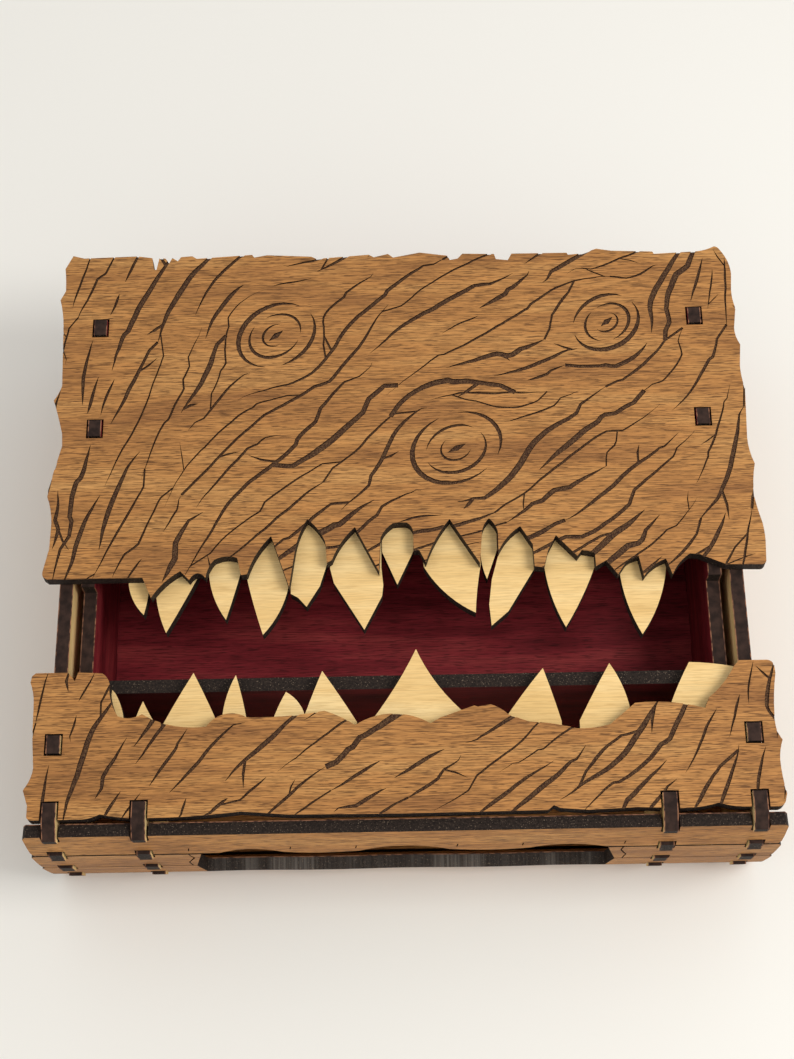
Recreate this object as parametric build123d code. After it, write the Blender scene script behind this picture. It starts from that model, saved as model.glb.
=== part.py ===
from build123d import *
from math import cos, radians, sin
import os

# A toothed wooden chest for dice, laser cut from plywood: a drawer slides in an open-backed sleeve.
# X runs across the front, Y from the front to the back and Z up. The origin is on the table, in the
# middle of the sleeve. Sizes are in mm. The drawer stands as it is with the mouth open.

# Stock and fits
ply = 3.2               # thickness of every board
slot_gap = 0.45         # room round a tab in its slot
seam_gap = 0.1          # room between boards that meet edge to edge
slide_gap = 0.3         # running room between the drawer and the sleeve
tab_proud = 0.4         # how far a jaw tab stands out of its board
tab_length = 4.2        # jaw tabs, along Y
finger_length = 14.0    # long fingers that join floors to walls

# Sleeve
wall_spacing = 157.6    # between the middle planes of the side walls
sleeve_depth = 127.2    # bulge of the front to the open back, where the shut drawer ends
brace_inset = 19.9      # braces inside the side walls, between middle planes
brace_depth = 10.6      # braces, along Y
plank_foot = 0.8        # lowest front board above the table
plank_heights = [10.8, 11.4, 12.1, 10.3]    # front boards, from the bottom up
plank_tilts = [-17.0, -6.0, -1.5, 9.5]      # degrees each board leans back
plank_overhang = 4.5    # front boards past the side walls' outer faces
plank_rise = 1.2        # top front board above the underside of the lower jaw plate
seam_tab_height = 4.3   # tabs that show in the seams of the front
seam_tab_proud = 0.5    # how far they stand out of the front boards
opening_half = 47.6     # half the width of the opening in the front

# Hooks that hold the lower jaw plate and the top front board
hook_reach = 4.2        # back end of a hook, behind the top front board
hook_flat = 4.4         # level top of a hook
hook_drop = 2.0         # fall of its sloping nose
hook_nose = 3.9         # length of the sloping nose
hook_lip = 2.0          # depth of the nose in front of the top board

# Jaws: their cheeks are the straight ends of the mouth, left and right
lower_overhang = 4.6    # widest point of the lower jaw plate past the side walls' outer faces
upper_overhang = 5.3    # widest point of the lid past them
lower_cheek = 36.5      # lower cheeks behind the bulge of the front
jaw_front_gap = 0.4     # room between the lower jaw plate and the top front board
mouth_gap = 22.3        # between the cheeks, as the drawer stands
back_overhang = 4.8     # rearmost point of the lid past the drawer's back
lower_tab_inset = 17.1  # lower jaw tabs, forward of the lower cheeks
upper_tab_insets = [40.0, 68.0]     # upper jaw tabs, behind the upper cheeks
gum_cover = 12.0        # root of the upper teeth under the lid
teeth_setback = 2.6     # front of the lower teeth plate, behind the top front board's inner face

# Drawer
drawer_side_gap = 1.9   # between its side walls and the sleeve's
drawer_reach = 25.3     # drawer's front face, forward of the upper cheeks
drawer_length = 109.7
floor_rise = 3.2        # drawer floor above the lower edge of its walls
lip_clearance = 0.4     # low walls under the lower teeth

# Places that follow from them
front_y = -sleeve_depth / 2
back_y = sleeve_depth / 2
lower_cheek_y = front_y + lower_cheek
upper_cheek_y = lower_cheek_y + mouth_gap
wall_x = wall_spacing / 2
wall_inside = wall_x - ply / 2
brace_x = wall_x - brace_inset
wall_outside = wall_x + ply / 2
plank_half = wall_outside + plank_overhang
drawer_x = wall_inside - drawer_side_gap - ply / 2
drawer_inside = drawer_x - ply / 2
drawer_front_y = upper_cheek_y - drawer_reach
drawer_back_y = drawer_front_y + drawer_length
upper_jaw_depth = drawer_length - drawer_reach + back_overhang


def front_corners():
    """Corners of the bowed front behind its boards, from the bottom up, as (y, z)."""
    corners = [(0, plank_foot)]
    for height, tilt in zip(plank_heights, plank_tilts):
        y, z = corners[-1]
        corners.append((y + height * sin(radians(tilt)), z + height * cos(radians(tilt))))
    bulge = min(y for y, z in corners)
    return [(y - bulge + front_y, z) for y, z in corners]


corners = front_corners()
plank_top_y = corners[-1][0]
wall_top = corners[-1][1] - plank_rise      # underside of the lower jaw plate
jaw_top = wall_top + ply
hook_top = jaw_top + tab_proud
hook_back_y = plank_top_y + hook_reach
lower_jaw_depth = lower_cheek_y - plank_top_y - jaw_front_gap
upper_jaw_bottom = wall_top + slide_gap
drawer_bottom = ply + slide_gap
drawer_floor_bottom = drawer_bottom + floor_rise
low_wall_top = wall_top - ply - lip_clearance
step_y = upper_cheek_y


# Shapes
def outline(points):
    """A closed face in XY. A point's third number is the bulge of the arc that leads to it."""
    edges = []
    for start, end in zip([points[-1]] + points[:-1], points):
        if len(end) > 2:
            edges.append(SagittaArc(start[:2], end[:2], end[2]))
        else:
            edges.append(Line(start[:2], end[:2]))
    return make_face(edges)


def board(points, z):
    """A flat board with its underside at z."""
    return Pos(0, 0, z) * extrude(outline(points), ply)


def upright(points, x):
    """A board that stands on edge, drawn as (y, z), with its middle plane at x."""
    face = make_face(Plane.YZ * Polyline(*points, close=True))
    return Pos(x - ply / 2, 0, 0) * extrude(face, ply, dir=(1, 0, 0))


def block(x0, x1, y0, y1, z0, z1):
    """A plain block between two corners, for tabs and cuts."""
    return Pos((x0 + x1) / 2, (y0 + y1) / 2, (z0 + z1) / 2) * Box(x1 - x0, y1 - y0, z1 - z0)


def slot(x, y, length, z0, z1):
    """A cut for a tab of an upright board at x that is centred on y."""
    wide = ply / 2 + slot_gap
    reach = length / 2 + slot_gap
    return block(x - wide, x + wide, y - reach, y + reach, z0, z1)


def mirrored(points):
    """The same outline on the other side of the middle, in the same turning order."""
    flipped = [(-point[0],) + tuple(point[1:]) for point in points]
    return flipped[::-1]


# Front: bowed boards, the ribs behind them and what locks them
def seam_tab(x, level, room=0.0):
    """A tab through the seam at a corner of the front, or the cut for it, square to the seam."""
    y, z = corners[level]
    lean = (plank_tilts[level - 1] + plank_tilts[level]) / 2
    half = seam_tab_height / 2 + room
    tip = -ply - seam_tab_proud - (ply if room else 0)
    wide = ply / 2 + room
    return Pos(x, y, z) * Rot(-lean, 0, 0) * block(-wide, wide, tip, ply / 2, -half, half)


def hook_points():
    """Side view of a hook, as (y, z), from its back end over the jaw plate to its nose."""
    fold = hook_back_y - hook_flat
    nose = fold - hook_nose
    nose_top = hook_top - hook_drop
    return [
        (hook_back_y, wall_top - ply), (hook_back_y, hook_top), (fold, hook_top), (nose, nose_top),
        (nose, nose_top - hook_lip), (plank_top_y, nose_top - hook_lip),
    ]


def rib_front(x):
    """The front end of a rib: its bowed edge, its hook and its seam tabs."""
    back = front_y + brace_depth
    profile = [(back, ply), (corners[0][0], ply)] + corners[1:] + [(back, wall_top)]
    rib = upright(profile, x) & block(x - ply, x + ply, front_y - ply, back, ply, wall_top)
    rib += upright(hook_points(), x)
    for level in range(1, len(corners) - 1):
        rib += seam_tab(x, level)
    return rib


def hook_cut(x, z0):
    """Room for a hook in the board that it passes, from z0 up."""
    wide = ply / 2 + slot_gap
    return block(x - wide, x + wide, front_y - 4 * ply, hook_back_y + slot_gap, z0, hook_top + ply)


def front_board(level, points):
    """A board on one facet of the front, drawn from the facet's lower corner, with cuts for tabs."""
    tilt = radians(plank_tilts[level])
    y, z = corners[level]
    facet = Plane(origin=(0, y, z), x_dir=(1, 0, 0), z_dir=(0, -cos(tilt), sin(tilt)))
    plank = extrude(facet * outline(points), ply)
    for x in (-wall_x, -brace_x, brace_x, wall_x):
        for seam in (level, level + 1):
            if 0 < seam < len(corners) - 1:
                plank -= seam_tab(x, seam, slot_gap)
        if level == len(corners) - 2:
            plank -= hook_cut(x, hook_top - hook_drop - hook_lip - slot_gap)
    return plank


def plank_end(height):
    """The worn right end of a front board, from the bottom up."""
    return [
        (plank_half - 0.9, seam_gap), (plank_half - 0.3, 1.5), (plank_half - 0.1, 0.45 * height),
        (plank_half, height - 1.0), (plank_half - 0.6, height - seam_gap),
    ]


def front_plank_1():
    """The top board, with three shallow arches over the opening."""
    arches = [(-0.88, -0.58, 1.9), (-0.21, 0.21, 2.4), (0.59, 0.95, 1.7)]
    dip = -0.8
    under = []
    for left, right, rise in arches:
        under.append((left * opening_half, seam_gap, dip) if under else (left * opening_half, seam_gap))
        under.append((right * opening_half, seam_gap, rise))
    right_end = plank_end(plank_heights[3])
    return front_board(3, mirrored(right_end) + under + right_end)


def broken_board(level, low_x, high_x):
    """The right half of a board that is broken off aslant at the opening."""
    height = plank_heights[level]
    return plank_end(height) + [(high_x, height - seam_gap), (low_x, seam_gap)]


def front_plank_4():
    """The bottom board. Its top edge is a sill that dips and swells in turn under the opening."""
    height = plank_heights[0]
    count = 5
    width = 2 * (opening_half - 1.0) / count
    start = count * width / 2
    sill = [(start, height - seam_gap)]
    for index in range(count):
        dip = -0.9 if index % 2 else 1.3
        sill.append((start - (index + 1) * width, height - seam_gap, dip))
    right = plank_end(height)
    return front_board(0, mirrored(right) + right + sill)


# Sleeve
def finger_places():
    """Where the long fingers of the base panel are, along Y."""
    span = sleeve_depth - 2 * finger_length
    return [front_y + finger_length * 1.6 + span * share for share in (0, 0.42, 0.84)]


def base_panel():
    """The floor of the sleeve, with fingers into the walls and slots for the braces."""
    front = corners[0][0] + seam_gap
    panel = block(-wall_inside + seam_gap, wall_inside - seam_gap, front, back_y, 0, ply)
    half = finger_length / 2
    for y in finger_places():
        panel += block(-wall_outside, wall_outside, y - half, y + half, 0, ply)
    for side in (-1, 1):
        panel -= slot(side * brace_x, brace_tab_y(), tab_length, 0, ply)
    return panel


def brace_tab_y():
    """Where a brace's foot goes through the base panel, just behind the bottom front board."""
    return corners[0][0] + slot_gap + tab_length / 2


def brace(side):
    """A short rib behind the front, which also backs the lower jaw plate."""
    foot = block(-ply / 2, ply / 2, -tab_length / 2, tab_length / 2, slide_gap, ply + seam_gap)
    return rib_front(side * brace_x) + Pos(side * brace_x, brace_tab_y(), 0) * foot


def side_wall(side):
    """A wall of the sleeve, with its jaw tab, hook and seam tabs."""
    x = side * wall_x
    front_foot = [(corners[0][0], 0), corners[0]] + corners[1:]
    wall = upright([(back_y, 0)] + front_foot + [(hook_back_y, wall_top), (back_y, wall_top)], x)
    wall &= block(x - ply, x + ply, front_y - ply, back_y, 0, wall_top)
    wall += rib_front(x)
    tab_y = lower_cheek_y - lower_tab_inset
    half = tab_length / 2
    wall += block(x - ply / 2, x + ply / 2, tab_y - half, tab_y + half, wall_top - ply, hook_top)
    for y in finger_places():
        reach = finger_length / 2 + seam_gap
        wall -= block(x - ply, x + ply, y - reach, y + reach, -ply, ply + seam_gap)
    return wall


# Jaws and teeth
def stretch(outline_points, half_width, depth):
    """How much wider and deeper a jaw plate is than its drawn outline."""
    drawn_half = max(point[0] for point in outline_points)
    drawn_depth = max(abs(point[1]) for point in outline_points)
    return half_width / drawn_half, depth / drawn_depth


def placed(points, cheek_y, scale):
    """Points of a jaw's drawing, with y counted from its cheeks, at their real size and place."""
    wide, deep = scale
    return [
        (x * wide, cheek_y + y * deep) + tuple(height * wide for height in bulge)
        for x, y, *bulge in points
    ]


def tooth(points, gum):
    """A tooth's outline from the gum round and back. Here a positive bulge is convex."""
    turn = 1 if points[0][1] > gum else -1
    bent = [(x, y) + tuple(height * turn for height in bulge) for x, y, *bulge in points]
    return [(points[0][0], gum)] + bent + [(points[-1][0], gum)]


def lower_jaw_outline():
    """The ragged outline of the lower jaw plate: its lip, right end, front edge and left end."""
    lip = [
        (-83.9, 0), (-76.4, 0), (-74.8, -2.1), (-74.2, 0), (-68.6, -0.3), (-66.8, -4.5, 0.7),
        (-64.6, -10.6, -0.4), (-59.1, -10.2, -0.7), (-44.4, -13.4, -1.3), (-35.3, -11.4, 1.9),
        (-17.7, -10.2, -0.5), (-10.7, -13.7, 0.3), (6.3, -13.6, 2.5), (8.5, -12.3), (16.3, -9.6),
        (17.1, -9.9), (20.0, -9.4), (24.0, -11.9, 0.3), (28.5, -13.6), (39.3, -15.4, 0.3),
        (46.7, -14.6, -0.3), (52.6, -9.7), (68.3, -11.2, 0.8), (69.4, -8.7), (75.6, -1.4, -0.5),
        (76.9, 0), (83.2, 0),
    ]
    right = [
        (84.8, -1.5, 0.4), (84.9, -3.2), (83.7, -15.0, -0.3), (85.0, -18.9, -0.3), (84.0, -23.5, -0.2),
        (84.8, -31.2, -0.2), (84.3, -33.0),
    ]
    front = [
        (82.6, -34.1, 0.3), (76.1, -34.0), (69.6, -33.0, 0.3), (61.4, -34.1, 0.3), (51.9, -33.7),
        (40.8, -34.1), (34.7, -33.6), (33.2, -32.9), (31.9, -34.0), (-0.8, -34.2), (-25.4, -34.0),
        (-36.1, -33.1), (-56.2, -34.2, 0.3), (-67.5, -33.2, 0.4), (-72.2, -34.3, 0.3), (-82.6, -34.3),
    ]
    left = [
        (-83.8, -33.5, 0.3), (-83.8, -31.0), (-85.0, -27.4), (-83.0, -22.4, -0.4), (-83.7, -15.0),
        (-83.9, -8.0), (-85.0, -2.2, -0.3), (-84.7, -0.7),
    ]
    return lip + right + front + left


def lower_jaw_plate():
    """The ragged board over the front, with its lip towards the mouth."""
    plate = board(placed(lower_jaw_outline(), lower_cheek_y, lower_scale), wall_top)
    for side in (-1, 1):
        tab_y = lower_cheek_y - lower_tab_inset
        plate -= slot(side * wall_x, tab_y, tab_length, wall_top - ply, hook_top + ply)
        plate -= hook_cut(side * wall_x, wall_top - ply)
        plate -= hook_cut(side * brace_x, wall_top - ply)
    return plate


def lower_teeth_plate():
    """The pale board under the lower jaw. Its teeth point back, into the mouth."""
    gum = -16.4
    edge = wall_inside - 3 * seam_gap
    inside = brace_x - ply / 2 - slot_gap
    behind_ribs = front_y + brace_depth + slide_gap
    behind_front = plank_top_y + teeth_setback
    root = lower_cheek_y + gum * lower_scale[1]
    strip = [
        (-edge, behind_ribs), (-inside, behind_ribs), (-inside, behind_front), (inside, behind_front),
        (inside, behind_ribs), (edge, behind_ribs), (edge, root), (-edge, root),
    ]
    teeth = [
        [(-79.0, -2.0), (-67.9, -2.0), (-66.0, -4.0), (-64.0, -8.9, 0.2), (-63.4, -12.0)],
        [(-61.6, -12.0), (-59.5, -6.1, 0.1), (-56.2, -12.0, -0.1)],
        [(-54.6, -11.5), (-48.1, 0.5, 0.1), (-42.3, -11.5, 0.1)],
        [(-41.3, -12.0), (-38.3, -0.2, 0.7), (-35.4, -12.0, 0.2)],
        [(-29.9, -12.0), (-26.7, -4.5, 0.2), (-22.0, -12.0, 1.1)],
        [(-23.0, -12.0), (-18.4, 0.4, 0.1), (-10.4, -12.0, 0.1)],
        [(-7.2, -11.9), (3.3, 5.3, -0.5), (16.0, -11.9, -1.3)],
        [(22.8, -12.6), (32.4, 0.1, 0.2), (36.1, -12.6, 0.1)],
        [(40.2, -12.6), (47.7, 1.0, 0.1), (52.1, -12.6, 0.9)],
        [(59.8, -12.4), (66.0, 0.9, 0.3), (76.0, -0.3, 0.2), (79.0, -2.0)],
    ]
    plate = board(strip, wall_top - ply)
    for points in teeth:
        plate += board(placed(tooth(points, gum), lower_cheek_y, lower_scale), wall_top - ply)
    return plate & block(-edge, edge, front_y, back_y, 0, wall_top)


def upper_jaw_outline():
    """The ragged outline of the lid: its lip over the mouth, right side, back edge and left side."""
    mouth = [
        (-82.8, 0.7), (-60.4, 0.7), (-58.2, -4.4), (-51.6, 2.2, 0.6), (-49.4, -0.1), (-47.6, 1.6, 0.3),
        (-45.6, 0.3, 0.3), (-43.7, 4.9, 0.4), (-38.3, 5.3, 0.6), (-37.3, 0.9), (-35.9, 1.1),
        (-30.4, 10.7, 0.7), (-26.0, -2.3), (-24.7, 7.0), (-21.9, 14.9, 0.4), (-17.6, 8.9, 0.5),
        (-17.2, 3.5), (-16.0, 4.3), (-10.6, 12.6, 0.6), (-5.0, 1.2), (-4.6, 9.6), (-1.6, 13.4, 0.4),
        (1.6, 13.5, 0.1), (3.1, 11.4, 0.3), (3.2, 6.4), (4.5, 6.4), (6.0, 3.3), (11.8, 14.2, 0.6),
        (18.7, 2.8), (19.4, 10.9), (21.1, 14.2, 0.3), (23.1, 10.8, 0.3), (23.1, 5.7),
        (28.4, 12.0, 0.6), (31.2, 7.3), (31.4, 1.7), (33.6, 1.4), (34.7, 5.7), (36.7, 9.5),
        (41.5, 4.1), (42.6, 5.6), (45.6, 5.0), (45.7, 1.4), (48.2, 2.9), (50.7, -0.7), (52.7, 2.3),
        (55.8, 3.8, 0.3), (56.7, -1.3), (62.1, 3.0, 0.6), (63.4, -1.0), (67.8, 4.2, 0.5), (69.9, 4.0),
        (76.0, 1.3), (84.1, 1.1),
    ]
    right = [
        (85.4, 2.0, -0.3), (85.7, 7.1), (85.4, 11.7, -0.1), (84.1, 18.4, 0.1), (85.0, 27.1, 0.3),
        (83.8, 34.0, 0.3), (84.5, 47.4), (83.8, 53.6, 0.2), (84.4, 59.6), (83.3, 64.2, 0.3), (84.1, 69.9),
        (83.5, 75.2, 0.2), (83.9, 79.9), (83.0, 84.3, -0.2), (81.4, 87.2, -0.1),
    ]
    back = [
        (80.2, 87.9, -0.2), (76.0, 86.6, 0.2), (65.0, 86.1), (64.7, 86.8), (54.4, 87.3), (50.6, 88.0),
        (47.0, 86.7), (43.4, 86.4), (43.1, 87.0), (29.2, 87.1), (28.2, 85.2), (25.2, 85.6),
        (24.8, 87.1), (16.8, 87.4), (15.6, 86.0), (13.6, 85.6), (13.0, 86.9), (6.0, 88.0),
        (-0.7, 86.7), (-2.0, 87.8), (-5.6, 86.9), (-6.8, 87.7), (-20.1, 86.8), (-21.4, 87.5),
        (-32.6, 88.2), (-35.8, 87.6), (-36.4, 88.4), (-50.4, 87.6), (-51.6, 88.4), (-54.4, 88.2),
        (-55.2, 87.0), (-56.6, 88.0), (-57.4, 86.6), (-58.4, 87.9), (-59.9, 88.0), (-60.5, 84.6),
        (-61.1, 84.6), (-61.7, 88.1), (-65.6, 88.7), (-79.0, 88.4), (-81.8, 89.2),
    ]
    left = [
        (-83.6, 85.4), (-83.1, 78.9, 0.1), (-84.3, 76.3), (-83.1, 68.9, 0.2), (-82.4, 52.0),
        (-84.2, 48.0, 0.2), (-81.6, 38.8, 0.1), (-81.4, 35.5), (-84.1, 23.9), (-84.1, 22.0),
        (-82.7, 15.0, 0.3), (-82.8, 8.5), (-84.0, 2.7), (-83.8, 1.4, -0.1),
    ]
    return mouth + right + back + left


def upper_jaw_plate():
    """The large ragged lid. It rides on the drawer and its front edge is the upper lip."""
    plate = board(placed(upper_jaw_outline(), upper_cheek_y, upper_scale), upper_jaw_bottom)
    for side in (-1, 1):
        for inset in upper_tab_insets:
            y = upper_cheek_y + inset
            plate -= slot(side * drawer_x, y, tab_length, wall_top - ply, hook_top + ply)
    return plate


def upper_teeth_plate():
    """The pale board under the lid. Its teeth point to the front, between the lower ones."""
    gum = 17.6
    edge = drawer_inside - seam_gap
    root = upper_cheek_y + gum * upper_scale[1]
    teeth = [
        [(-64.2, 1.5), (-60.2, -7.4, 0.9), (-59.2, 1.5, 0.3)],
        [(-57.8, 2.2), (-54.8, -12.0, 0.8), (-47.6, 2.2, 0.1)],
        [(-45.3, 4.0), (-40.9, -9.0, 1.0), (-37.4, 4.0, 0.1)],
        [(-36.4, 2.2), (-32.2, -12.9, 0.2), (-26.0, 2.2, 1.4)],
        [(-26.1, 5.0), (-25.8, -2.8), (-24.1, -3.8), (-22.1, -6.1), (-19.0, -1.0), (-17.2, 5.0)],
        [(-16.6, 3.4), (-15.7, -0.3), (-8.6, -12.1), (-4.4, -3.8), (-4.1, -1.0), (-4.5, 3.4)],
        [(-4.3, 7.4), (-0.8, -1.0), (3.1, 7.4)],
        [(5.4, 3.6), (17.4, -8.4, 1.3), (18.9, 3.6, -0.2)],
        [(19.0, 7.4), (20.3, 0.0, 0.4), (22.9, 7.4)],
        [(23.3, 6.6), (21.4, -0.2), (20.6, -6.4), (21.0, -11.7), (25.0, -8.2), (31.5, 2.4)],
        [(33.9, 2.4), (38.2, -12.4, 0.7), (45.6, 2.4, 0.4)],
        [(51.4, 2.0), (55.8, -14.5, 0.9), (62.4, 2.0, 1.1)],
    ]
    z = upper_jaw_bottom - ply
    plate = block(-edge, edge, root, root + gum_cover, z, z + ply)
    for points in teeth:
        plate += board(placed(tooth(points, gum), upper_cheek_y, upper_scale), z)
    return plate & block(-edge, edge, front_y, back_y, 0, upper_jaw_bottom)


# Drawer
def cross_fingers(y, top):
    """The fingers at both ends of a drawer wall that runs across, as one cutter or one tab set."""
    height = top - drawer_bottom
    fingers = []
    for share in (0.18, 0.62):
        low = drawer_bottom + share * height
        fingers.append((low, low + 0.22 * height))
    return [(y, y + ply, low, high) for low, high in fingers]


def cross_wall(y, top):
    """The front or back wall of the drawer, with fingers through the side walls."""
    wall = block(-drawer_inside + seam_gap, drawer_inside - seam_gap, y, y + ply, drawer_bottom, top)
    reach = drawer_x + ply / 2
    for y0, y1, low, high in cross_fingers(y, top):
        wall += block(-reach, reach, y0, y1, low, high)
    return wall


def drawer_finger_places():
    """Where the floor's fingers go through the drawer's side walls, along Y."""
    return [drawer_front_y + drawer_length * share for share in (0.25, 0.75)]


def drawer_side_wall(side):
    """A wall of the drawer: low in the mouth, high under the lid, with tabs through the lid."""
    x = side * drawer_x
    profile = [
        (drawer_front_y, drawer_bottom), (drawer_back_y, drawer_bottom), (drawer_back_y, upper_jaw_bottom),
        (step_y, upper_jaw_bottom), (step_y, low_wall_top), (drawer_front_y, low_wall_top),
    ]
    wall = upright(profile, x)
    half = tab_length / 2
    for inset in upper_tab_insets:
        y = upper_cheek_y + inset
        tab_top = upper_jaw_bottom + ply + tab_proud
        wall += block(x - ply / 2, x + ply / 2, y - half, y + half, upper_jaw_bottom - ply, tab_top)
    crossings = cross_fingers(drawer_front_y, low_wall_top)
    crossings += cross_fingers(drawer_back_y - ply, upper_jaw_bottom)
    for y0, y1, low, high in crossings:
        wall -= block(x - ply, x + ply, y0 - seam_gap, y1 + seam_gap, low - seam_gap, high + seam_gap)
    for y in drawer_finger_places():
        reach = finger_length / 2 + seam_gap
        low = drawer_floor_bottom - seam_gap
        wall -= block(x - ply, x + ply, y - reach, y + reach, low, low + ply + 2 * seam_gap)
    return wall


def drawer_floor():
    """The floor of the drawer, between its four walls."""
    front = drawer_front_y + ply + seam_gap
    back = drawer_back_y - ply - seam_gap
    edge = drawer_inside - seam_gap
    top = drawer_floor_bottom + ply
    panel = block(-edge, edge, front, back, drawer_floor_bottom, top)
    half = finger_length / 2
    for y in drawer_finger_places():
        reach = drawer_x + ply / 2
        panel += block(-reach, reach, y - half, y + half, drawer_floor_bottom, top)
    return panel


lower_scale = stretch(lower_jaw_outline(), wall_outside + lower_overhang, lower_jaw_depth)
upper_scale = stretch(upper_jaw_outline(), wall_outside + upper_overhang, upper_jaw_depth)
left_2 = broken_board(2, opening_half + 0.9, opening_half - 1.4)
right_2 = broken_board(2, opening_half + 0.7, opening_half - 1.7)
left_3 = broken_board(1, opening_half - 0.1, opening_half + 1.1)
right_3 = broken_board(1, opening_half - 0.4, opening_half + 0.8)

nodes = {
    "base_panel": base_panel(),
    "left_side_wall": side_wall(-1),
    "right_side_wall": side_wall(1),
    "left_brace": brace(-1),
    "right_brace": brace(1),
    "front_plank_1": front_plank_1(),
    "front_plank_2_left": front_board(2, mirrored(left_2)),
    "front_plank_2_right": front_board(2, right_2),
    "front_plank_3_left": front_board(1, mirrored(left_3)),
    "front_plank_3_right": front_board(1, right_3),
    "front_plank_4": front_plank_4(),
    "lower_jaw_plate": lower_jaw_plate(),
    "lower_teeth_plate": lower_teeth_plate(),
    "drawer_floor": drawer_floor(),
    "drawer_left_wall": drawer_side_wall(-1),
    "drawer_right_wall": drawer_side_wall(1),
    "drawer_front_wall": cross_wall(drawer_front_y, low_wall_top),
    "drawer_back_wall": cross_wall(drawer_back_y - ply, upper_jaw_bottom),
    "upper_jaw_plate": upper_jaw_plate(),
    "upper_teeth_plate": upper_teeth_plate(),
}

os.makedirs("parts", exist_ok=True)
for name, shape in nodes.items():
    export_step(shape, f"parts/{name}.step")
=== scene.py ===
import bpy
import bmesh
import math
import random
from mathutils import Matrix, Vector


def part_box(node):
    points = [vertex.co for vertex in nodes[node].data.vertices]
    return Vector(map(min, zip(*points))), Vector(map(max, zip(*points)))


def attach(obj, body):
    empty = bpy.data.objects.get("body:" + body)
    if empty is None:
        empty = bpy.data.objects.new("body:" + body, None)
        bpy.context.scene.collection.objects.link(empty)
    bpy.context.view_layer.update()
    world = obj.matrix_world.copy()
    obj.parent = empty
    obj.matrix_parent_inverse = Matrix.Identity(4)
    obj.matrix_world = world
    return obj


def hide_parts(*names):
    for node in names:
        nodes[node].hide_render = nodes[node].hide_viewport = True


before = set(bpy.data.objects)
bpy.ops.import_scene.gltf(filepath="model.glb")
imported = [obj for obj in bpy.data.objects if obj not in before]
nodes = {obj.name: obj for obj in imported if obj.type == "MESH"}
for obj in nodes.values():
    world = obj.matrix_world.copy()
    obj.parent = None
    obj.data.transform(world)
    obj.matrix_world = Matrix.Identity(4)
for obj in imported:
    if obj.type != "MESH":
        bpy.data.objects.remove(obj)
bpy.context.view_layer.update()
mm = 0.001

# ---- small tools ----


def toLinear(hexColour):  # "#a9743f" to the linear values that a socket takes
    parts = [int(hexColour[i:i + 2], 16) / 255 for i in (1, 3, 5)]
    return [p / 12.92 if p <= 0.04045 else ((p + 0.055) / 1.055) ** 2.4 for p in parts] + [1]


def addNode(tree, kind, inputs=None, **settings):  # inputs hold plain values or sockets to link
    made = tree.nodes.new("ShaderNode" + kind)
    for name, value in settings.items():
        setattr(made, name, value)
    for name, value in (inputs or {}).items():
        if isinstance(value, bpy.types.NodeSocket):
            tree.links.new(value, made.inputs[name])
        elif isinstance(value, str):
            made.inputs[name].default_value = toLinear(value)
        else:
            made.inputs[name].default_value = value
    return made.outputs


def colourRamp(tree, factor, stops):  # stops are (position, hex) pairs
    out = addNode(tree, "ValToRGB", {"Fac": factor})
    ramp = out[0].node.color_ramp
    while len(ramp.elements) < len(stops):
        ramp.elements.new(0.5)
    for element, (position, hexColour) in zip(ramp.elements, stops):
        element.position, element.color = position, toLinear(hexColour)
    return out[0]


def mixColour(tree, factor, first, second, way="MIX"):
    return addNode(tree, "Mix", {0: factor, 6: first, 7: second}, data_type="RGBA", blend_type=way)[2]


def newMaterial(name, roughness, specular=0.5):
    material = bpy.data.materials.new(name)
    material.use_nodes = True
    tree = material.node_tree
    shader = tree.nodes["Principled BSDF"]
    shader.inputs["Roughness"].default_value = roughness
    shader.inputs["Specular IOR Level"].default_value = specular
    return material, tree, shader


def stretchedNoise(tree, place, grain, length, width, detail):  # cells of length x width mm along the grain
    scale = [1 / ((length if axis in grain else width) * mm) for axis in "XYZ"]
    turned = addNode(tree, "Mapping", {"Vector": place, "Scale": scale})
    settings = {"Vector": turned[0], "Scale": 1, "Detail": detail, "Roughness": 0.55}
    return addNode(tree, "TexNoise", settings)[0]


def evenNoise(tree, place, cell, detail):
    return addNode(tree, "TexNoise", {"Vector": place, "Scale": 1 / (cell * mm), "Detail": detail})[0]


def ramped(tree, value, low, high, least=0.0, most=1.0):
    return addNode(tree, "MapRange", {0: value, 1: low, 2: high, 3: least, 4: most})[0]


# ---- plywood ----
# Oak-faced plywood, wiped with a brown stain and laser cut: a warm matt brown with dense dark pores
# along the grain and soft lighter and darker bands. The cut edges are charred almost black.
# Birch veneer is smooth, pale and nearly plain. The drawer's birch is dyed maroon.
veneers = {
    "stain": {
        "ground": ((0.26, "#936237"), (0.50, "#b88047"), (0.74, "#c69155")), "pore": "#5b3a1e",
        "poreShare": 0.85, "poreSize": (3.0, 0.15), "fibreDark": 0.56,
    },
    "birch": {
        "ground": ((0.30, "#dfb877"), (0.50, "#eac585"), (0.70, "#f0d094")), "pore": "#c49a5c",
        "poreShare": 0.36, "poreSize": (4.4, 0.2), "fibreDark": 0.89,
    },
    "maroon": {
        "ground": ((0.30, "#62141a"), (0.50, "#88272d"), (0.70, "#a03c3b")), "pore": "#2c0606",
        "poreShare": 0.55, "poreSize": (4.0, 0.3), "fibreDark": 0.66,
    },
    # painted shade: a darker maroon for the drawer walls' faces toward the front, standing in for the shade
    # under the lower jaw
    "shadedMaroon": {
        "ground": ((0.30, "#3a090c"), (0.50, "#541216"), (0.70, "#681c1e")), "pore": "#1c0404",
        "poreShare": 0.5, "poreSize": (4.0, 0.3), "fibreDark": 0.66,
    },
    "figure": (46, 5.5),    # mm, broad bands in the veneer
    "fibre": (9.0, 0.32),   # mm, drawn a little coarser than real fibres so that they show
}
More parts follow.
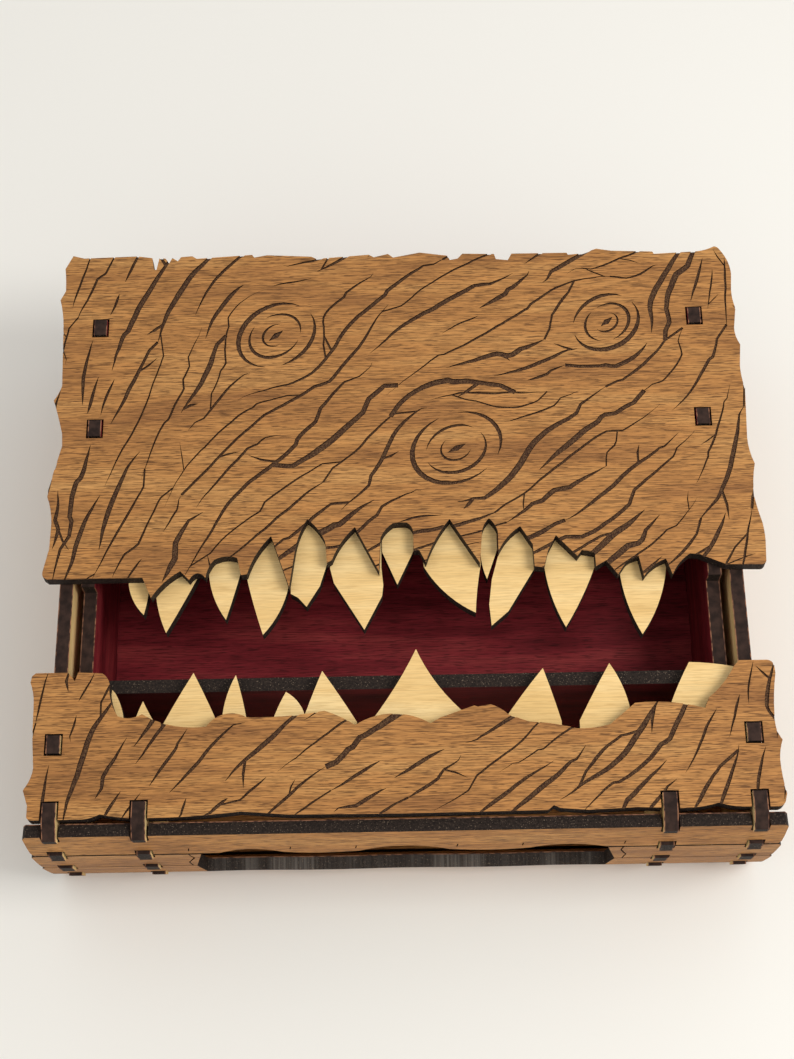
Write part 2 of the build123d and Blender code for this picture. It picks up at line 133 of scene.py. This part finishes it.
char = {    # cells, streaks, patches and the rim's width are in mm
    "dark": "#1a120e", "light": "#31261f", "cell": 0.5, "speck": "#8d7a66", "speckCell": 0.24,
    # the sheen colour and its streak and patch cells paint a highlight: grey glossy reflection on the sill's
    # cut edge
    "paintedSheen": "#6f675f", "streak": (30, 0.5), "sheenPatch": (60, 6.5), "brown": ("#241711", "#3a2820"),
    # the rim colours paint a highlight along the arrises
    "brownCell": 1.8, "rim": ("#3c2620", "#94664a"), "rimCell": 1.6, "rimWidth": 0.22,
}
halfPly = 1.6   # mm, from a board's middle plane to its face
drawerWallOut, sleeveWallOut, braceOut = 73.7, 78.8, 58.9   # mm from the middle to their middle planes


def veneerColour(tree, place, grain, kind):
    look = veneers[kind]
    bands = stretchedNoise(tree, place, grain, *veneers["figure"], 3)
    fibres = stretchedNoise(tree, place, grain, *veneers["fibre"], 3)
    pores = stretchedNoise(tree, place, grain, *look["poreSize"], 1)
    ground = colourRamp(tree, bands, look["ground"])
    shade = ramped(tree, fibres, 0.34, 0.58, look["fibreDark"], 1.06)
    shaded = mixColour(tree, 1.0, ground, shade, "MULTIPLY")
    depth = ramped(tree, pores, 0.54, 0.64, 0.0, look["poreShare"])
    return mixColour(tree, depth, shaded, look["pore"]), depth


def charColour(tree, place, streaky):  # soot with fine pale dust, and when streaky a painted sheen as well: grey highlights in patches, broken into streaks
    cloud = evenNoise(tree, place, char["cell"], 2)
    soot = colourRamp(tree, cloud, ((0.35, char["dark"]), (0.68, char["light"])))
    if streaky:
        # painted highlight: grey sheen in patches, broken into streaks along the cut
        streaks = ramped(tree, stretchedNoise(tree, place, "YZ", *char["streak"], 2), 0.36, 0.64, 0.35, 1.0)
        sheenPatches = ramped(tree, stretchedNoise(tree, place, "YZ", *char["sheenPatch"], 0), 0.52, 0.64, 0.25, 0.95)
        paintedSheen = addNode(tree, "Math", {0: streaks, 1: sheenPatches}, operation="MULTIPLY")[0]
        soot = mixColour(tree, paintedSheen, soot, char["paintedSheen"])
    dust = ramped(tree, evenNoise(tree, place, char["speckCell"], 0), 0.72, 0.80, 0.0, 0.7)
    return mixColour(tree, dust, soot, char["speck"])


def brownTops(tree, coordinates, soot):  # cut edges that face up are drawn browner than those that face the front or sides
    up = addNode(tree, "SeparateXYZ", {0: coordinates["Normal"]})[2]
    isTop = addNode(tree, "Math", {0: up, 1: 0.6}, operation="GREATER_THAN")[0]
    dark, light = char["brown"]
    stains = evenNoise(tree, coordinates["Object"], char["brownCell"], 3)
    brown = colourRamp(tree, stains, ((0.35, dark), (0.65, light)))
    return mixColour(tree, isTop, soot, brown)


def arrisHighlights(tree, place, lie, middle, edge, isUpright):  # copper lines on the arrises, a painted highlight where an edge catches the light and partly the paler veneer at the edge; a front board's back arris only
    across = addNode(tree, "VectorMath", {0: place, 1: lie}, operation="DOT_PRODUCT")[1]
    offset = addNode(tree, "Math", {0: middle * mm, 1: across}, operation="SUBTRACT")[0]
    if isUpright:
        offset = addNode(tree, "Math", {0: offset}, operation="ABSOLUTE")[0]
    inside = (halfPly - char["rimWidth"]) * mm
    isRim = addNode(tree, "Math", {0: offset, 1: inside}, operation="GREATER_THAN")[0]
    dark, light = char["rim"]
    copper = colourRamp(tree, evenNoise(tree, place, char["rimCell"], 2), ((0.40, dark), (0.60, light)))
    return mixColour(tree, isRim, edge, copper)


def plyMaterial(name, lie, grain, front, back, middle=None, streaky=False):
    # lie is the board's normal, front the veneer on that side and back the one behind, and middle how far
    # out its middle plane is, in mm along the normal
    material, tree, shader = newMaterial(name, 0.6, 0.18)
    coordinates = addNode(tree, "TexCoord")
    place = coordinates["Object"]
    toward = addNode(tree, "VectorMath", {0: coordinates["Normal"], 1: lie}, operation="DOT_PRODUCT")[1]
    colour, depth = veneerColour(tree, place, grain, front)
    if back != front:
        behind = veneerColour(tree, place, grain, back)[0]
        isFront = addNode(tree, "Math", {0: toward, 1: 0.0}, operation="GREATER_THAN")[0]
        colour = mixColour(tree, isFront, behind, colour)
    flat = addNode(tree, "Math", {0: toward}, operation="ABSOLUTE")[0]
    isFace = addNode(tree, "Math", {0: flat, 1: 0.8}, operation="GREATER_THAN")[0]
    edge = charColour(tree, place, streaky)
    if middle:
        isUpright = lie in (leftward, rightward)
        if isUpright:
            edge = brownTops(tree, coordinates, edge)
        # painted highlight along the arrises
        edge = arrisHighlights(tree, place, lie, middle, edge, isUpright)
    tree.links.new(mixColour(tree, isFace, edge, colour), shader.inputs["Base Color"])
    tree.links.new(ramped(tree, isFace, 0, 1, 0.72, 0.56), shader.inputs["Roughness"])
    height = ramped(tree, depth, 0, 1, 1, 0)
    bump = addNode(tree, "Bump", {"Strength": 0.4, "Distance": 0.08 * mm, "Height": height})[0]
    tree.links.new(bump, shader.inputs["Normal"])
    return material


def grooveMaterial():  # floor of a laser engraving: dull brown char, stippled by the pulses
    material, tree, shader = newMaterial("laserGroove", 0.9, 0.15)
    coordinates = addNode(tree, "TexCoord")
    pulses = evenNoise(tree, coordinates["Object"], 0.27, 2)
    floor = colourRamp(tree, pulses, ((0.34, "#33201a"), (0.50, "#4e3524"), (0.66, "#6b5036")))
    up = addNode(tree, "SeparateXYZ", {0: coordinates["Normal"]})[2]
    isFloor = addNode(tree, "Math", {0: up, 1: 0.5}, operation="GREATER_THAN")[0]
    tree.links.new(mixColour(tree, isFloor, "#20120c", floor), shader.inputs["Base Color"])
    bump = addNode(tree, "Bump", {"Strength": 0.6, "Distance": 0.12 * mm, "Height": pulses})[0]
    tree.links.new(bump, shader.inputs["Normal"])
    return material


leftward, rightward = (-1, 0, 0), (1, 0, 0)
topBoardLie = (0, -0.986, 0.165)    # the front's top board leans back 9.5 degrees
sillLie = (0, -0.956, -0.292)       # its bottom board leans forward 17 degrees
levelPly = plyMaterial("stainedPlyLevel", (0, 0, 1), "X", "stain", "stain")
frontPly = plyMaterial("stainedPlyFront", (0, -1, 0), "X", "stain", "stain")
topBoardPly = plyMaterial("stainedPlyTopBoard", topBoardLie, "X", "stain", "stain", 70.03)
# the sill's cut edge carries the painted sheen
sillPly = plyMaterial("stainedPlySill", sillLie, "X", "stain", "stain", 57.7, streaky=True)
barePly = plyMaterial("barePlyLevel", (0, 0, 1), "X", "birch", "birch")
redLevel = plyMaterial("maroonPlyLevel", (0, 0, 1), "X", "maroon", "maroon")
# the drawer walls' faces toward the front get the darker maroon, a painted shade
redAcross = plyMaterial("maroonPlyAcross", (0, 1, 0), "X", "maroon", "shadedMaroon")
groove = grooveMaterial()
finishes = {
    "base_panel": levelPly, "front_plank_3_left": frontPly, "front_plank_3_right": frontPly,
    "front_plank_4": sillPly, "lower_teeth_plate": barePly, "upper_teeth_plate": barePly,
    "drawer_floor": redLevel, "drawer_front_wall": redAcross, "drawer_back_wall": redAcross,
    "drawer_left_wall": plyMaterial("maroonPlyLeft", leftward, "Y", "maroon", "maroon", drawerWallOut),
    "drawer_right_wall": plyMaterial("maroonPlyRight", rightward, "Y", "maroon", "maroon", drawerWallOut),
    "left_side_wall": plyMaterial("wallPlyLeft", leftward, "Y", "stain", "birch", sleeveWallOut),
    "right_side_wall": plyMaterial("wallPlyRight", rightward, "Y", "stain", "birch", sleeveWallOut),
    "left_brace": plyMaterial("bracePlyLeft", leftward, "Y", "stain", "birch", braceOut),
    "right_brace": plyMaterial("bracePlyRight", rightward, "Y", "stain", "birch", braceOut),
}
for name, material in finishes.items():
    for index in range(len(nodes[name].material_slots)):
        nodes[name].material_slots[index].material = material
print("boards finished")

# ---- engraving: bark cracks in both jaw boards, knots in the lid, and a few splits in the front ----
bark = {
    "step": 1.3,            # mm between a crack's points
    "width": (0.45, 1.75),  # mm, thinnest and thickest crack
    "depth": 0.4,           # mm
    "over": 0.2,            # mm that the cutter starts above the board
    "wander": 3.0,          # degrees that a crack drifts at each step
    "kink": 26,             # degrees, now and then
    "spurs": 0.2,           # short side cracks per 12 steps
}
# In both: lean holds (x in mm, degrees that the cracks rise), area is x0, x1, y0, y1 in mm, and knots and
# tabs are (x, y, radius) in mm, which the cracks keep out of.
lidBark = {
    "seed": 11, "tries": 1900, "spacing": (3.1, 6.4), "reach": (8, 88), "area": (-86, 87, -6, 88),
    "lean": ((-84, 82), (-62, 64), (-24, 38), (24, 26), (60, 42), (86, 80)),
    "knots": ((-30, 60, 11.0), (14, 28, 12.0), (52, 62, 9.5)),
    "tabs": tuple((side * drawerWallOut, y, 3.0) for side in (-1, 1) for y in (35.2, 63.2)),
}
lowerBark = {
    "seed": 12, "tries": 900, "spacing": (3.4, 7.0), "reach": (8, 56), "area": (-86, 86, -63, -26),
    "lean": ((-84, 84), (-58, 56), (-10, 32), (42, 38), (84, 78)),
    "knots": (), "tabs": tuple((side * sleeveWallOut, -44.2, 3.0) for side in (-1, 1)),
}
frontSplits = {     # mm; y is counted up the board's face from its lower edge
    "topBoard": (66.76, 35.09, 9.5),        # forward, up, and the degrees that the board leans back
    "secondBoard": (66.48, 22.38, -1.5),
    "nicks": (-48.8, -25.9, -11.1, 11.7, 26.4, 49.3), "nick": (1.4, 2.9), "nickSlant": 0.2,
    "nickWidth": 0.34, "width": 0.42,
    "left": ((-49.0, 12.4), (-48.9, 10.9), (-48.2, 8.2), (-49.9, 3.6), (-49.4, -0.3)),
    "right": ((49.3, 12.4), (49.0, 9.3), (49.5, 7.4), (50.5, 4.4), (50.0, -0.3)),
}


def turned(way, degrees):
    c, s = math.cos(math.radians(degrees)), math.sin(math.radians(degrees))
    return Vector((way.x * c - way.y * s, way.x * s + way.y * c))


def grainAngle(lean, x):  # the cracks' lean eases from one entry to the next along the board
    for (x0, a0), (x1, a1) in zip(lean, lean[1:]):
        if x <= x1:
            share = max(0.0, (x - x0) / (x1 - x0))
            return a0 + (a1 - a0) * share * share * (3 - 2 * share)
    return lean[-1][1]


def grainWay(place, board):  # cracks part round a knot as water does round a post
    plain = turned(Vector((1, 0)), grainAngle(board["lean"], place.x))
    way = plain.copy()
    for knotX, knotY, radius in board["knots"]:
        out = place - Vector((knotX, knotY))
        pull = min(1.0, (radius / max(out.length, 1.0)) ** 2)
        out.normalize()
        way -= pull * (2 * plain.dot(out) * out - plain)
    return way.normalized() if way.length else plain


def isBlocked(place, board, room):
    x0, x1, y0, y1 = board["area"]
    inside = x0 < place.x < x1 and y0 < place.y < y1
    kept = board["knots"] + board["tabs"]
    return not inside or any((place - Vector((x, y))).length < radius + room for x, y, radius in kept)


def nearest(place, cracks, limit, way=None):  # closest point of another crack, or the closest one ahead
    best = None
    for crack in cracks:
        for other in crack["points"]:
            gap = other - place
            if gap.length < limit and (way is None or way.dot(gap) > 0.8 * gap.length > 0):
                best, limit = other, gap.length
    return best


def runCrack(place, sense, reach, spacing, board, cracks, dice):
    line, drift, bend, kink = [], 0.0, 0, 0
    while len(line) * bark["step"] < reach:
        drift = 0.9 * drift + dice.gauss(0, bark["wander"])
        if bend:
            bend -= 1
        elif dice.random() < 0.05:
            bend, kink = dice.randint(1, 3), dice.choice((-1, 1)) * bark["kink"]
        way = turned(grainWay(place, board) * sense, drift + (kink if bend else 0))
        place = place + way * bark["step"]
        if isBlocked(place, board, 0.8):
            return line, False
        if nearest(place, cracks, 0.55 * spacing):
            ahead = nearest(place, cracks, 1.5 * spacing, way)
            joins = ahead is not None and dice.random() < 0.6
            return line + [ahead] * joins, joins
        line.append(place)
    return line, False


def sideCrack(crack, board, dice):  # a short crack that leaves another at an angle
    root = dice.choice(crack["points"][1:-1])
    way = grainWay(root, board) * dice.choice((-1, 1))
    tip = root + turned(way, dice.choice((-1, 1)) * dice.uniform(28, 55)) * dice.uniform(3.5, 8)
    middle = (root + tip) / 2 + Vector((dice.uniform(-0.4, 0.4), dice.uniform(-0.4, 0.4)))
    width = 0.7 * crack["width"]
    return {"points": [root, middle, tip], "width": width, "joins": (True, False), "peak": 0.1}


def barkCracks(board):
    dice = random.Random(board["seed"])
    x0, x1, y0, y1 = board["area"]
    short, long = board["reach"]
    thin, thick = bark["width"]
    cracks = []
    for attempt in range(board["tries"]):
        spacing = dice.uniform(*board["spacing"])
        reach = short + (long - short) * dice.random() ** 1.5
        start = Vector((dice.uniform(x0, x1), dice.uniform(y0, y1)))
        if isBlocked(start, board, 1.5) or nearest(start, cracks, spacing):
            continue
        ahead, joinsAhead = runCrack(start, 1, reach / 2, spacing, board, cracks, dice)
        behind, joinsBehind = runCrack(start, -1, reach / 2, spacing, board, cracks, dice)
        points = behind[::-1] + [start] + ahead
        if len(points) * bark["step"] < 0.8 * short:
            continue
        width = thin + (thick - thin) * dice.random() ** 1.3 * min(1, len(points) / 22)
        joins = (joinsBehind, joinsAhead)
        cracks.append({"points": points, "width": width, "joins": joins, "peak": dice.uniform(0.25, 0.75)})
    sides = [
        sideCrack(crack, board, dice) for crack in cracks
        if dice.random() < bark["spurs"] * len(crack["points"]) / 12
    ]
    return cracks + [side for side in sides if not isBlocked(side["points"][-1], board, 0.5)]


# An arc is its shares of the knot's radius at both ends, its start and sweep in degrees, and its width in mm.
knotLook = {
    "arcs": (
        ((0.95, 0.90), 20, 200, 1.3), ((0.92, 0.96), 245, 110, 1.0), ((0.66, 0.60), 110, 190, 0.9),
        ((0.60, 0.64), -40, 120, 0.7), ((0.34, 0.30), 40, 210, 0.6),
    ),
    "oval": 0.8,            # width of the rings against their length
    "heart": (0.2, 1.5),    # half its length as a share of the radius, and its width in mm
    "turn": 70,             # degrees from one knot's rings to the next one's
}


def ringCrack(knot, lean, radii, start, sweep, width):  # part of an oval ring, long with the grain
    count = max(6, int(abs(sweep) / 12))
    points = []
    for index in range(count + 1):
        angle = math.radians(start + sweep * index / count)
        radius = knot[2] * (radii[0] + (radii[1] - radii[0]) * index / count)
        oval = Vector((radius * math.cos(angle), knotLook["oval"] * radius * math.sin(angle)))
        points.append(Vector(knot[:2]) + turned(oval, lean))
    return {"points": points, "width": width, "joins": (False, False), "peak": 0.45}


def knotCracks(board):  # each knot is a split heart in broken oval rings
    half, heartWidth = knotLook["heart"]
    cracks = []
    for index, knot in enumerate(board["knots"]):
        lean = grainAngle(board["lean"], knot[0])
        along = turned(Vector((half * knot[2], 0)), lean)
        heart = [Vector(knot[:2]) + step * along for step in (-1, 0, 1)]
        cracks.append({"points": heart, "width": heartWidth, "joins": (False, False), "peak": 0.5})
        for radii, start, sweep, width in knotLook["arcs"]:
            cracks.append(ringCrack(knot, lean, radii, start + knotLook["turn"] * index, sweep, width))
    return cracks


def crackWidth(crack, index):  # thickest at its peak, thin at a free end
    share = index / (len(crack["points"]) - 1)
    before = share < crack["peak"]
    rise = share / crack["peak"] if before else (1 - share) / (1 - crack["peak"])
    least = 0.75 if crack["joins"][0 if before else 1] else 0.07
    return crack["width"] * max(least, math.sin(rise * math.pi / 2) ** 0.8)


def layCrack(bm, crack, over):  # a tapered strip just over the board
    rungs = []
    points = crack["points"]
    for index, place in enumerate(points):
        way = (points[min(index + 1, len(points) - 1)] - points[max(index - 1, 0)]).normalized()
        side = Vector((-way.y, way.x)) * crackWidth(crack, index) / 2
        rungs.append([bm.verts.new((p.x * mm, p.y * mm, over)) for p in (place + side, place - side)])
    for first, second in zip(rungs, rungs[1:]):
        bm.faces.new((first[0], first[1], second[1], second[0]))


def solidCopy(name):  # a CAD board's shape with its loose triangles joined up
    bm = bmesh.new()
    bm.from_mesh(nodes[name].data)
    bmesh.ops.remove_doubles(bm, verts=bm.verts, dist=0.002 * mm)
    bmesh.ops.dissolve_limit(bm, angle_limit=math.radians(0.5), verts=bm.verts, edges=bm.edges)
    return bm


def newPiece(name, bm, materials):
    mesh = bpy.data.meshes.new(name)
    bm.to_mesh(mesh)
    bm.free()
    piece = bpy.data.objects.new(name, mesh)
    for material in materials:
        mesh.materials.append(material)
    bpy.context.scene.collection.objects.link(piece)
    return piece


def engrave(name, node, body, finish, plane, cracks):  # plane takes a drawing to the board's face
    tool = bmesh.new()
    for crack in cracks:
        layCrack(tool, crack, bark["over"] * mm)
    pulled = bmesh.ops.extrude_face_region(tool, geom=tool.faces[:], use_keep_orig=True)
    lowered = [v for v in pulled["geom"] if isinstance(v, bmesh.types.BMVert)]
    bmesh.ops.translate(tool, verts=lowered, vec=(0, 0, -(bark["over"] + bark["depth"]) * mm))
    bmesh.ops.transform(tool, matrix=plane, verts=tool.verts)
    bmesh.ops.recalc_face_normals(tool, faces=tool.faces)
    cutter = newPiece(name + "Cutter", tool, [groove])
    piece = newPiece(name, solidCopy(node), [finish, groove])
    cut = piece.modifiers.new("cut", "BOOLEAN")
    cut.operation, cut.solver, cut.use_self, cut.material_mode = "DIFFERENCE", "EXACT", True, "TRANSFER"
    cut.object = cutter
    shaped = bpy.data.meshes.new_from_object(piece.evaluated_get(bpy.context.evaluated_depsgraph_get()))
    piece.modifiers.clear()
    piece.data = shaped
    bpy.data.objects.remove(cutter)
    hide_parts(node)
    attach(piece, body)
    print(name, "engraved,", len(shaped.polygons), "faces")


def topPlane(node):
    return Matrix.Translation((0, 0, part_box(node)[1][2]))


def facePlane(forward, up, lean):
    return Matrix.Translation((0, -forward * mm, up * mm)) @ Matrix.Rotation(math.radians(90 - lean), 4, "X")


def plainCrack(points, width):  # an even width from end to end
    return {"points": [Vector(p) for p in points], "width": width, "joins": (True, True), "peak": 0.5}


lidCracks = barkCracks(lidBark) + knotCracks(lidBark)
engrave("engravedLid", "upper_jaw_plate", "drawer", levelPly, topPlane("upper_jaw_plate"), lidCracks)
jawCracks = barkCracks(lowerBark)
engrave("engravedLowerJaw", "lower_jaw_plate", "sleeve", levelPly, topPlane("lower_jaw_plate"), jawCracks)
low, high = frontSplits["nick"]
slant, nickWidth = frontSplits["nickSlant"], frontSplits["nickWidth"]
nicks = [plainCrack(((x, low), (x + slant, high)), nickWidth) for x in frontSplits["nicks"]]
engrave("splitTopBoard", "front_plank_1", "sleeve", topBoardPly, facePlane(*frontSplits["topBoard"]), nicks)
for side in ("left", "right"):
    split = [plainCrack(frontSplits[side], frontSplits["width"])]
    plane = facePlane(*frontSplits["secondBoard"])
    engrave(side + "SplitBoard", "front_plank_2_" + side, "sleeve", frontPly, plane, split)

# ---- floor, light and camera ----
studio = {  # metres and watts
    "floor": "#f0ede5", "floorReach": 3, "world": 0.76, "key": 2.0, "keyPlace": (0.38, -0.10, 0.56),
    "keySize": 0.26,
}
view = {    # mm and degrees
    "lens": 61.19, "sensor": 36, "place": (5.31, -162.76, 436.42), "turn": (23.532, 1.192, -0.724),
}


def studioFloor():
    bm = bmesh.new()
    bmesh.ops.create_grid(bm, x_segments=1, y_segments=1, size=studio["floorReach"])
    material, tree, shader = newMaterial("floorPaper", 0.8)
    shader.inputs["Base Color"].default_value = toLinear(studio["floor"])
    newPiece("floor", bm, [material])


studioFloor()
world = bpy.data.worlds.new("studio")
bpy.context.scene.world = world
world.use_nodes = True
world.node_tree.nodes["Background"].inputs["Color"].default_value = (1, 1, 1, 1)
world.node_tree.nodes["Background"].inputs["Strength"].default_value = studio["world"]
lamp = bpy.data.lights.new("softbox", "AREA")
lamp.size = studio["keySize"]
lamp.energy = studio["key"]
lampObject = bpy.data.objects.new("softbox", lamp)
lampObject.location = studio["keyPlace"]
lampObject.rotation_euler = (-lampObject.location).to_track_quat("-Z", "Y").to_euler()
bpy.context.scene.collection.objects.link(lampObject)

cameraData = bpy.data.cameras.new("camera")
cameraData.lens = view["lens"]
cameraData.sensor_width = view["sensor"]
cameraData.clip_start = 0.01
camera = bpy.data.objects.new("camera", cameraData)
camera.location = [p * mm for p in view["place"]]
camera.rotation_euler = [math.radians(a) for a in view["turn"]]
bpy.context.scene.collection.objects.link(camera)
bpy.context.scene.camera = camera
bpy.context.scene.view_settings.view_transform = "Standard"
